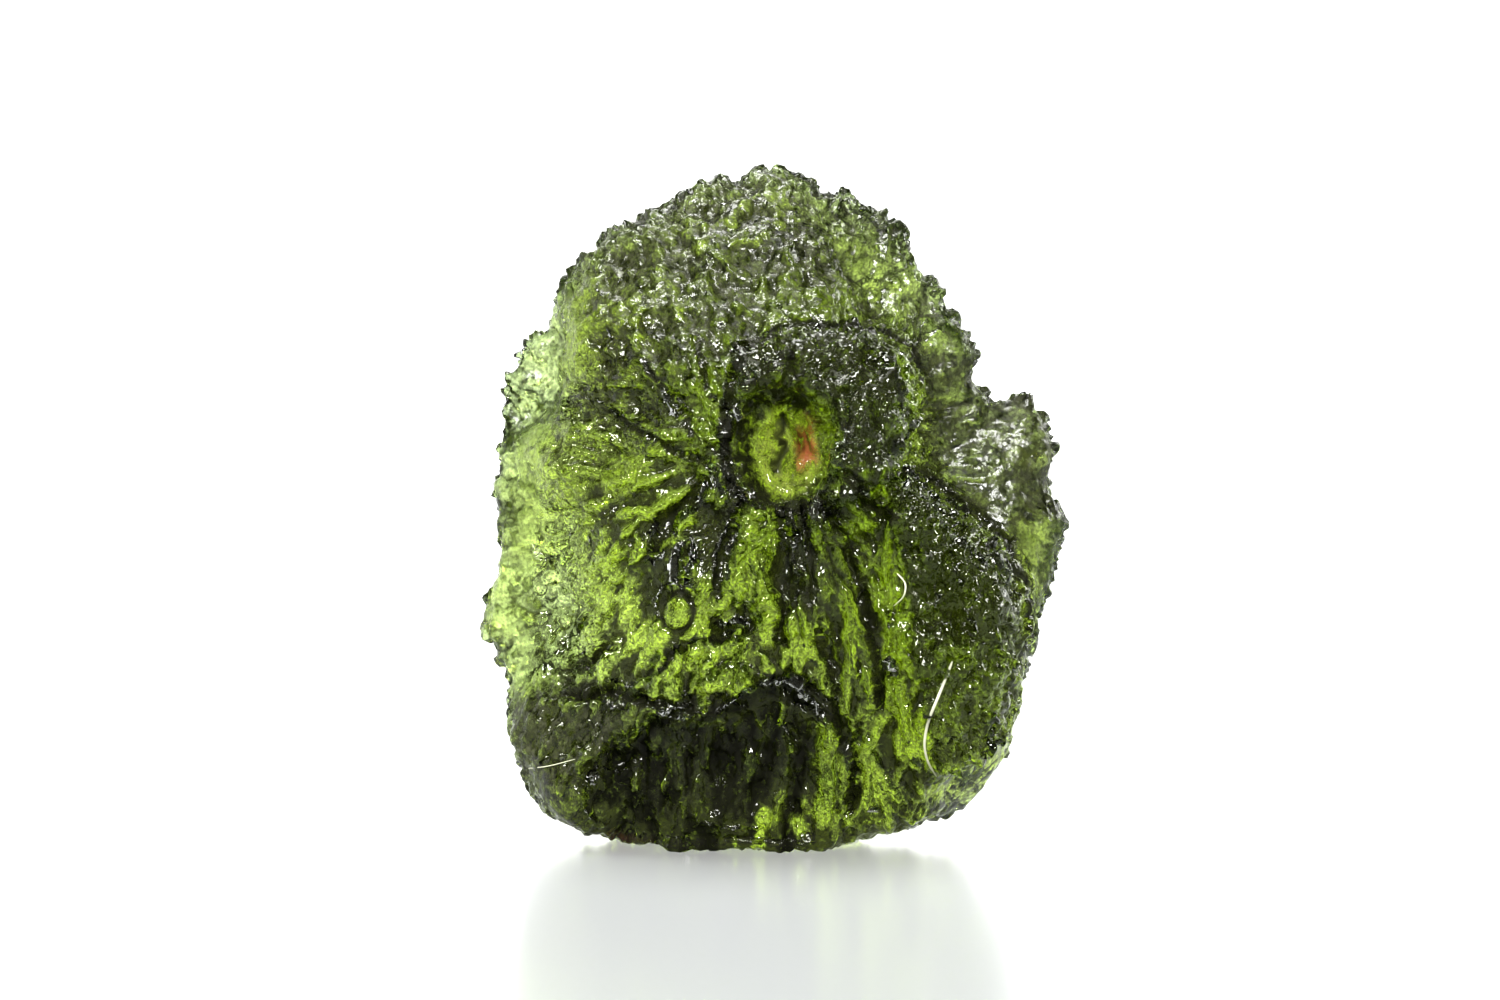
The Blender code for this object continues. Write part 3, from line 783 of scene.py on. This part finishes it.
def paint(mesh):
    """Writes how clear the glass is and where it is black, as painted light and shade, how dusty
    with painted sheen, how stained and how smooth, as attributes.
    """
    surface = Surface(mesh)
    seen = surface.seen(PAINT_WAVER)
    facing = surface.facing()
    relief = np.clip(surface.stored("relief"), -MOST_RELIEF, MOST_RELIEF)
    mottle = noise_of(surface.co, 1.1, 5) * 0.6 + noise_of(surface.co, 0.4, 6) * 0.4
    black = groove_shade(seen, mottle)
    wall, right_wall, floor = pit_parts(seen)
    wall *= (1.0 - floor) * (1.0 - 0.8 * right_wall)
    hollow = within(seen, HOLLOW, 0.9) * facing
    tongued = within(seen, TONGUED, TONGUED_EDGE) * facing
    plates = np.maximum(within(seen, UPPER_PLATE, 0.5), within(seen, RIGHT_PLATE, 0.5))
    flange = sum(within(seen, outline, FLANGE_EDGE) for outline in FLANGES)
    dome = ramp(seen[:, 1], *DOME_DUST_SHEEN_AND_SATIN) * facing

    # Dust, which also paints a grey sheen, most on the dome and the right flange
    dust_and_sheen = DUST_AND_SHEEN + DUST_MOTTLE * mottle
    dust_and_sheen *= 1.0 - PLATES_SHED * plates
    dust_and_sheen *= 1.0 - FLANGES_SHED * flange
    dust_and_sheen += RIGHT_FLANGE_DUST_AND_SHEEN * within(seen, FLANGES[1], FLANGE_EDGE) * facing
    dust_and_sheen += LOWER_LEFT_DUST * within(seen, DUSTY, 1.0) + ISLAND_DUST * floor + DOME_DUST_AND_SHEEN * dome

    upright = surface.co * np.array([1.0, 1.0, FLUTE_STRETCH])
    wide, _, seed = FLUTES[0]
    flutes = np.clip(0.8 - 1.4 * noise_of(upright, wide, seed), 0.2, 1.0)
    # Black painted shade in the hollow's flutes, the grooves and the pit's wall, dimmer on the
    # upper plate and in the channels between tongues
    painted_shade = np.maximum(np.maximum(flutes * hollow, black), WALL_SHADE * wall)
    painted_shade = np.maximum(painted_shade, UPPER_PLATE_SHADE * within(seen, UPPER_PLATE, 0.4) * facing)
    painted_shade = np.maximum(painted_shade, CHANNEL_SHADE * tongued * ramp(-relief, 0.2, 1.2))

    round_pit = 1.0 - ramp(oval(seen, PIT, SPARKLE_RADII), 0.6, 1.0)
    sparkle = SPARKLE_ELSEWHERE + (1.0 - SPARKLE_ELSEWHERE) * np.maximum(plates, round_pit)
    sparkle *= facing * (1.0 - hollow) * (1.0 - 0.8 * wall) * (1.0 - floor) * (1.0 - flange)

    stain = np.zeros(len(seen))
    for place, radii, share in STAINS:
        far = oval(seen, place, radii) * (1.0 + 0.6 * mottle)
        stain += share * (1.0 - ramp(far, 0.3, 1.1)) * facing
    island = floor * facing * (1.0 - black) * np.clip(0.8 + 0.8 * mottle, 0.0, 1.0)

    height = surface.co[:, 2]
    clear = painted_light_and_shade(seen, facing, relief, mottle, black, height)
    smooth = sum(within(seen, outline, CHIP_EDGE) for outline in CHIPS) * facing
    satin = np.maximum(flange, DOME_SATIN * dome) * facing
    values = (clear, dust_and_sheen, painted_shade, sparkle, stain, smooth, island, satin)
    for name, value in zip(PAINTED, values):
        surface.store(name, value)


class Number:
    """A number output of a node, which takes part in arithmetic."""

    def __init__(self, nodes, output):
        self.nodes = nodes
        self.output = output

    def combine(self, operation, first, second):
        return self.nodes.add("ShaderNodeMath", {"operation": operation}, {0: first, 1: second})

    def __add__(self, other):
        return self.combine("ADD", self, other)

    __radd__ = __add__

    def __sub__(self, other):
        return self.combine("SUBTRACT", self, other)

    def __rsub__(self, other):
        return self.combine("SUBTRACT", other, self)

    def __mul__(self, other):
        return self.combine("MULTIPLY", self, other)

    __rmul__ = __mul__


class Nodes:
    """A node tree that is written as calls and expressions."""

    def __init__(self, tree):
        self.tree = tree
        tree.nodes.clear()

    def add(self, kind, settings=None, inputs=None, output=0):
        """Adds a node and gives the output asked for. Inputs take values or other outputs."""
        node = self.tree.nodes.new(kind)
        for name, value in (settings or {}).items():
            setattr(node, name, value)
        for name, value in (inputs or {}).items():
            if isinstance(value, Number):
                self.tree.links.new(value.output, node.inputs[name])
            else:
                node.inputs[name].default_value = value
        return Number(self, node.outputs[output]) if node.outputs else node

    def mix_colours(self, factor, first, second):
        """Sockets 6 and 7 are a colour mix's two colours, and output 2 its result."""
        return self.add(
            "ShaderNodeMix", {"data_type": "RGBA"}, {0: factor, 6: first, 7: second}, output=2
        )

    def noise(self, place, size, detail=2.0, roughness=0.5):
        """Noise from 0 to 1 with patches of about this size."""
        return self.add(
            "ShaderNodeTexNoise",
            inputs={
                "Vector": place, "Scale": 1 / (size * MM), "Detail": detail,
                "Roughness": roughness,
            },
        )

    def vector(self, operation, *inputs):
        return self.add("ShaderNodeVectorMath", {"operation": operation}, dict(enumerate(inputs)))

    def attribute(self, name):
        return self.add("ShaderNodeAttribute", {"attribute_name": name}, output="Fac")

    def step(self, value, start, end):
        """0 before start and 1 after end, with a smooth turn between."""
        return self.add(
            "ShaderNodeMapRange", {"interpolation_type": "SMOOTHSTEP"},
            {"Value": value, "From Min": start, "From Max": end},
        )


def new_material(name):
    """A new material and its nodes."""
    material = bpy.data.materials.new(name)
    material.use_nodes = True
    return material, Nodes(material.node_tree)


def glass_material(settings):
    """Clear green glass whose tinted skin carries painted light and shade, with an opaque layer
    on it of dust with painted sheen, black painted shade, the pit's island and the stains.
    """
    material, nodes = new_material("green_glass")
    place = nodes.add("ShaderNodeTexCoord", output="Object")
    clear, dust_and_sheen, painted_shade, sparkle, stain, smooth, island, satin = map(nodes.attribute, PAINTED)

    tall = nodes.vector("MULTIPLY", place, (1.0, 1.0, 0.5))
    patches = nodes.noise(tall, PATCH_SIZE, detail=5.0, roughness=0.65)
    grain = nodes.noise(place, GRAIN_SIZE, detail=3.0)
    speckle = nodes.noise(place, SPECKLE_SIZE)
    clusters = nodes.noise(place, CLUSTER_SIZE)
    pits = nodes.add(
        "ShaderNodeTexVoronoi", {"feature": "SMOOTH_F1"},
        {"Vector": place, "Scale": 1 / (PIT_SIZE * MM), "Smoothness": 0.2},
    )
    cells = nodes.add(
        "ShaderNodeTexVoronoi", inputs={"Vector": place, "Scale": 1 / (CELL_SIZE * MM)},
        output="Color",
    )
    cell = nodes.add("ShaderNodeSeparateXYZ", inputs={0: cells}, output="X")

    # Fine pits, and facets that each lean their own way and so sparkle or stay dark
    sparkling = sparkle * nodes.step(clusters, 0.36, 0.54)
    etched = 1 - smooth * 0.8
    bump_height = (pits + grain * 0.6) * (0.3 + sparkling * 0.3) * etched
    bump_height = bump_height * (1 - painted_shade * 0.5)
    bump = nodes.add(
        "ShaderNodeBump",
        inputs={"Strength": 0.7, "Distance": 0.05 * MM, "Height": bump_height},
    )
    lean = nodes.vector("SUBTRACT", cells, (0.5, 0.5, 0.5))
    most = (0.1 + sparkling * 0.9) * etched
    lean = nodes.add("ShaderNodeVectorMath", {"operation": "SCALE"}, {0: lean, "Scale": most})
    normal = nodes.vector("NORMALIZE", nodes.vector("ADD", bump, lean))

    # Painted light and shade: where the tint is clear the light comes through, and elsewhere a
    # dark tint, black in the painted shade, stops most of it
    painted_light = nodes.step(clear + (patches - 0.5) * 1.4 + (cell - 0.5) * 0.3, 0.1, 0.9)
    painted_light = painted_light * (1 - nodes.step(speckle, 0.45, 0.6) * 0.5) * (0.8 + cell * 0.3)
    dark = nodes.mix_colours(painted_shade, (*settings.dark, 1), (*settings.black, 1))
    tint = nodes.mix_colours(painted_light, dark, (*settings.clear, 1))
    glass = nodes.add(
        "ShaderNodeBsdfPrincipled",
        inputs={
            "Base Color": tint, "Roughness": settings.roughness + grain * 0.04 + satin * 0.25,
            "IOR": settings.ior, "Transmission Weight": 1.0, "Normal": normal,
        },
    )

    # The opaque layer: dust with painted sheen, black painted shade in the grooves and the
    # hollow, the satin island and the stains
    skin = nodes.mix_colours(grain, (*settings.groove, 1), (*settings.dust_and_sheen, 1))
    skin = nodes.mix_colours(painted_shade, skin, (*settings.groove, 1))
    skin = nodes.mix_colours(island, skin, (*settings.island, 1))
    stained = stain * nodes.step(patches, 0.25, 0.5)
    skin = nodes.mix_colours(stained, skin, (*settings.stain, 1))
    opaque_layer = nodes.add(
        "ShaderNodeBsdfPrincipled",
        inputs={
            "Base Color": skin, "Roughness": 0.35 + grain * 0.2, "IOR": settings.ior,
            "Specular IOR Level": 0.08, "Normal": bump,
        },
    )
    # How much dust with painted sheen, and black painted shade, cover the glass; less where light
    # is painted through
    dusty = dust_and_sheen * (1 - painted_light * 0.7) * nodes.step(patches, 0.35, 0.6)
    covered = nodes.add(
        "ShaderNodeMath", {"operation": "MAXIMUM", "use_clamp": True},
        {0: dusty, 1: painted_shade * (1 - painted_light) * 0.7},
    )
    covered = covered + stained * 0.5 + island * 0.22
    surface = nodes.add("ShaderNodeMixShader", inputs={0: covered, 1: glass, 2: opaque_layer})

    density = max(settings.absorbed)
    left = (*(1.0 - a / density for a in settings.absorbed), 1)
    volume = nodes.add("ShaderNodeVolumeAbsorption", inputs={"Color": left, "Density": density})
    nodes.add("ShaderNodeOutputMaterial", inputs={"Surface": surface, "Volume": volume})
    return material


def lint_material(settings):
    """Pale fibre, a little uneven."""
    material, nodes = new_material("lint")
    place = nodes.add("ShaderNodeTexCoord", output="Object")
    uneven = nodes.noise(place, 0.3)
    pale = tuple(settings.colour)
    colour = nodes.mix_colours(uneven, (*(0.7 * c for c in pale), 1), (*pale, 1))
    bump = nodes.add(
        "ShaderNodeBump", inputs={"Strength": 0.4, "Distance": 0.01 * MM, "Height": uneven}
    )
    surface = nodes.add(
        "ShaderNodeBsdfPrincipled",
        inputs={"Base Color": colour, "Roughness": 0.55 + uneven * 0.2, "Normal": bump},
    )
    nodes.add("ShaderNodeOutputMaterial", inputs={"Surface": surface})
    return material


def studio_world(settings):
    """Upright light panels all round with dim gaps between, brightest behind, and one overhead.

    The camera itself sees plain white.
    """
    world = bpy.data.worlds.new("studio")
    world.use_nodes = True
    nodes = Nodes(world.node_tree)
    direction = nodes.add("ShaderNodeTexCoord", output="Generated")
    right, back, up = (
        nodes.add("ShaderNodeSeparateXYZ", inputs={0: direction}, output=axis) for axis in "XYZ"
    )
    azimuth = right.combine("ARCTAN2", right, back)
    wave = nodes.add("ShaderNodeMath", {"operation": "COSINE"}, {0: azimuth * PANELS})
    panels = nodes.step(wave, *PANEL_EDGE)
    panels = panels.combine("MAXIMUM", panels, nodes.step(back, *WHOLE_BEHIND))
    panels = panels * (1 - nodes.step(up, *PANEL_TOP))
    brighter = settings.back_light - settings.front_light
    level = settings.front_light + brighter * nodes.step(back, *FRONT_TO_BACK)
    overhead = nodes.step(up, *OVERHEAD_EDGE)
    strength = settings.gap_light + panels * level + overhead * settings.top_light
    lit = nodes.add("ShaderNodeBackground", inputs={"Strength": strength})
    white = nodes.add("ShaderNodeBackground", inputs={"Color": (1, 1, 1, 1)})
    seen = nodes.add("ShaderNodeLightPath", output="Is Camera Ray")
    both = nodes.add("ShaderNodeMixShader", inputs={0: seen, 1: lit, 2: white})
    nodes.add("ShaderNodeOutputWorld", inputs={"Surface": both})
    return world


def fibre_tree(material):
    """Nodes that turn a row of edges into a round fibre which thins out at its ends."""
    tree = bpy.data.node_groups.new("fibre", "GeometryNodeTree")
    face = tree.interface
    face.new_socket("Geometry", in_out="INPUT", socket_type="NodeSocketGeometry")
    radius = face.new_socket("Radius", in_out="INPUT", socket_type="NodeSocketFloat")
    radius.default_value = 0.05 * MM
    face.new_socket("Geometry", in_out="OUTPUT", socket_type="NodeSocketGeometry")
    nodes = Nodes(tree)
    given = nodes.tree.nodes.new("NodeGroupInput")
    path = Number(nodes, given.outputs["Geometry"])
    thickness = Number(nodes, given.outputs["Radius"])
    path = nodes.add("GeometryNodeMeshToCurve", inputs={"Mesh": path})
    path = nodes.add("GeometryNodeResampleCurve", inputs={"Curve": path, "Count": 40})
    along = nodes.add("GeometryNodeSplineParameter", output="Factor")
    taper = nodes.add("ShaderNodeFloatCurve", inputs={"Value": along})
    curve = taper.output.node.mapping.curves[0]
    curve.points[0].location = (0.0, 0.45)
    curve.points[1].location = (1.0, 0.35)
    curve.points.new(0.12, 1.0)
    curve.points.new(0.75, 0.8)
    taper.output.node.mapping.update()
    profile = nodes.add(
        "GeometryNodeCurvePrimitiveCircle", inputs={"Resolution": 8, "Radius": thickness}
    )
    tube = nodes.add(
        "GeometryNodeCurveToMesh",
        inputs={"Curve": path, "Profile Curve": profile, "Scale": taper, "Fill Caps": True},
    )
    tube = nodes.add("GeometryNodeRealizeInstances", inputs={"Geometry": tube})
    tube = nodes.add(
        "GeometryNodeSetMaterial", inputs={"Geometry": tube, "Material": material}
    )
    nodes.add("NodeGroupOutput", inputs={"Geometry": tube})
    return tree, radius.identifier


class MoldaviteStoneSettings(bpy.types.PropertyGroup):
    face_size: FloatProperty(
        name="Face size", description="Side of the faces before they are thinned out",
        default=0.00007, precision=6, unit="LENGTH",
    )
    smoothing: IntProperty(
        name="Smoothing", description="Rounds of smoothing that take the solid's facets away",
        default=45, min=0,
    )
    most_triangles: IntProperty(
        name="Most triangles", description="How many triangles the finished stone may have",
        default=196000, min=1000,
    )
    absorbed: FloatVectorProperty(
        name="Absorbed", description="Red, green and blue light taken by the glass, per metre",
        default=(102.0, 82.0, 370.0), size=3, max=2000.0,
    )
    # Painted light: the tint where light is painted as coming through
    clear: FloatVectorProperty(
        name="Clear skin", description="Tint of the skin where it is clean",
        default=(0.82, 1.0, 0.56), subtype="COLOR", size=3,
    )
    # Painted shade: the tint where least light comes through
    dark: FloatVectorProperty(
        name="Dark skin", description="Tint of the skin where least light comes through",
        default=(0.017, 0.0185, 0.007), subtype="COLOR", size=3,
    )
    # Painted shade: the black tint in the hollow and the grooves
    black: FloatVectorProperty(
        name="Black skin", description="Tint of the skin in the hollow and the grooves",
        default=(0.0015, 0.0018, 0.0008), subtype="COLOR", size=3,
    )
    # Dust, which also paints a grey sheen
    dust_and_sheen: FloatVectorProperty(
        name="Dusty skin", description="Colour of the satin, dusty skin",
        default=(0.12, 0.125, 0.08), subtype="COLOR", size=3,
    )
    stain: FloatVectorProperty(
        name="Stain", description="Colour of the rusty stain in the pit",
        default=(0.21, 0.075, 0.035), subtype="COLOR", size=3,
    )
    island: FloatVectorProperty(
        name="Island", description="Colour of the satin skin on the floor of the pit",
        default=(0.25, 0.29, 0.075), subtype="COLOR", size=3,
    )
    # The colour of the black painted shade, and of the dark grains in the dust
    groove: FloatVectorProperty(
        name="Groove", description="Colour deep in the grooves",
        default=(0.012, 0.012, 0.007), subtype="COLOR", size=3,
    )
    ior: FloatProperty(name="IOR", description="How strongly the glass bends light", default=1.49)
    roughness: FloatProperty(
        name="Roughness", description="Least roughness of the etched skin", default=0.02,
        subtype="FACTOR",
    )


class MoldaviteLintSettings(bpy.types.PropertyGroup):
    thickness: FloatProperty(
        name="Thickness", description="Thickness of the lint fibres", default=0.0001,
        precision=6, unit="LENGTH",
    )
    colour: FloatVectorProperty(
        name="Colour", description="Colour of the lint fibres", default=(0.62, 0.62, 0.48),
        subtype="COLOR", size=3,
    )


class MoldaviteStageSettings(bpy.types.PropertyGroup):
    back_light: FloatProperty(
        name="Light behind", description="Brightness of the panels behind the stone", default=1.65
    )
    front_light: FloatProperty(
        name="Light in front", description="Brightness of the panels behind the camera",
        default=0.13,
    )
    top_light: FloatProperty(
        name="Light above", description="Brightness of the panel overhead", default=3.2
    )
    gap_light: FloatProperty(
        name="Light in the gaps", description="Brightness between the panels", default=0.05
    )
    floor_glow: FloatProperty(
        name="Floor glow", description="Light that the floor gives off", default=0.28
    )
    floor_colour: FloatVectorProperty(
        name="Floor", description="Colour of the floor", default=(0.78, 0.82, 0.825),
        subtype="COLOR", size=3,
    )


class MOLDAVITE_OT_stone(bpy.types.Operator):
    """Make the etched stone on its solid"""

    bl_idname = "moldavite.stone"
    bl_label = "Stone"

    def execute(self, context):
        settings = context.scene.moldavite_stone
        stone = sculpted_stone(settings)
        paint(stone.data)
        stone.data.materials.clear()
        stone.data.materials.append(glass_material(settings))
        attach(stone, BODY)
        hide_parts(STONE_NODE)
        return {"FINISHED"}


class MOLDAVITE_OT_lint(bpy.types.Operator):
    """Lay the lint fibres on the finished stone"""

    bl_idname = "moldavite.lint"
    bl_label = "Lint"

    def execute(self, context):
        settings = context.scene.moldavite_lint
        material = lint_material(settings)
        tree, radius = fibre_tree(material)
        for name, run, share in LINT:
            mesh = bpy.data.meshes.new(name)
            path = on_front(bpy.data.objects["moldavite_stone"], run)
            mesh.from_pydata(path, [(i, i + 1) for i in range(len(path) - 1)], [])
            fibre = add_object(name + "_path", mesh)
            grow = fibre.modifiers.new("fibre", "NODES")
            grow.node_group = tree
            grow[radius] = settings.thickness * share / 2
            fibre = finished(fibre, name)
            fibre.data.shade_smooth()
            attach(fibre, BODY)
        return {"FINISHED"}


class MOLDAVITE_OT_stage(bpy.types.Operator):
    """Make the floor, the lights and the camera"""

    bl_idname = "moldavite.stage"
    bl_label = "Stage"

    def execute(self, context):
        settings = context.scene.moldavite_stage
        scene = context.scene
        scene.view_settings.view_transform = "Standard"
        scene.view_settings.look = "High Contrast"
        scene.cycles.max_bounces = LIGHT_BOUNCES
        scene.cycles.transmission_bounces = LIGHT_BOUNCES
        scene.world = studio_world(settings)
        lit = bpy.data.collections.new("lit by the small lights")
        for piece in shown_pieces():
            lit.objects.link(piece)
        self.add_camera(scene)
        self.add_floor(settings)
        for name, place, size, radiance in LIGHTS:
            data = bpy.data.lights.new(name, "AREA")
            data.size = size * MM
            data.energy = radiance * math.pi * data.size**2
            light = add_object(name, data)
            light.location = Vector(place) * MM
            towards = Vector(LOOK_AT) * MM - light.location
            light.rotation_euler = towards.to_track_quat("-Z", "Y").to_euler()
            light.visible_camera = False
            light.light_linking.receiver_collection = lit
        return {"FINISHED"}

    def add_camera(self, scene):
        data = bpy.data.cameras.new("camera")
        data.sensor_width = 36.0
        data.lens = data.sensor_width * CAMERA_DISTANCE / (PHOTO_WIDTH * PIXEL)
        data.clip_start = 0.01
        data.clip_end = 10.0
        camera = add_object("camera", data)
        camera.location = (Vector(LOOK_AT) + VIEW_BACK * CAMERA_DISTANCE) * MM
        camera.rotation_euler = (math.pi / 2 - CAMERA_ELEVATION, 0.0, 0.0)
        scene.camera = camera

    def add_floor(self, settings):
        mesh = bpy.data.meshes.new("floor")
        bm = bmesh.new()
        bmesh.ops.create_grid(bm, x_segments=1, y_segments=1, size=FLOOR_SIZE / 2 * MM)
        bm.to_mesh(mesh)
        bm.free()
        floor = add_object("floor", mesh)
        material, nodes = new_material("floor")
        surface = nodes.add(
            "ShaderNodeBsdfPrincipled",
            inputs={
                "Base Color": (*settings.floor_colour, 1), "Roughness": FLOOR_ROUGHNESS,
                "Emission Color": (1, 1, 1, 1), "Emission Strength": settings.floor_glow,
            },
        )
        nodes.add("ShaderNodeOutputMaterial", inputs={"Surface": surface})
        mesh.materials.append(material)
        floor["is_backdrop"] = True


class MOLDAVITE_PT_panel(bpy.types.Panel):
    bl_label = "Moldavite"
    bl_idname = "MOLDAVITE_PT_panel"
    bl_space_type = "VIEW_3D"
    bl_region_type = "UI"
    bl_category = "Moldavite"

    def draw(self, context):
        scene = context.scene
        for operator, settings in (
            ("moldavite.stone", scene.moldavite_stone),
            ("moldavite.lint", scene.moldavite_lint),
            ("moldavite.stage", scene.moldavite_stage),
        ):
            box = self.layout.box()
            for name in settings.__annotations__:
                box.prop(settings, name)
            box.operator(operator)


SETTINGS = {
    "moldavite_stone": MoldaviteStoneSettings,
    "moldavite_lint": MoldaviteLintSettings,
    "moldavite_stage": MoldaviteStageSettings,
}
CLASSES = [
    *SETTINGS.values(), MOLDAVITE_OT_stone, MOLDAVITE_OT_lint, MOLDAVITE_OT_stage,
    MOLDAVITE_PT_panel,
]


def register():
    for cls in CLASSES:
        bpy.utils.register_class(cls)
    for name, cls in SETTINGS.items():
        setattr(bpy.types.Scene, name, PointerProperty(type=cls))


def unregister():
    for name in SETTINGS:
        delattr(bpy.types.Scene, name)
    for cls in reversed(CLASSES):
        bpy.utils.unregister_class(cls)


def main():
    register()
    bpy.ops.moldavite.stone()
    bpy.ops.moldavite.lint()
    bpy.ops.moldavite.stage()


if __name__ == "__main__":
    main()
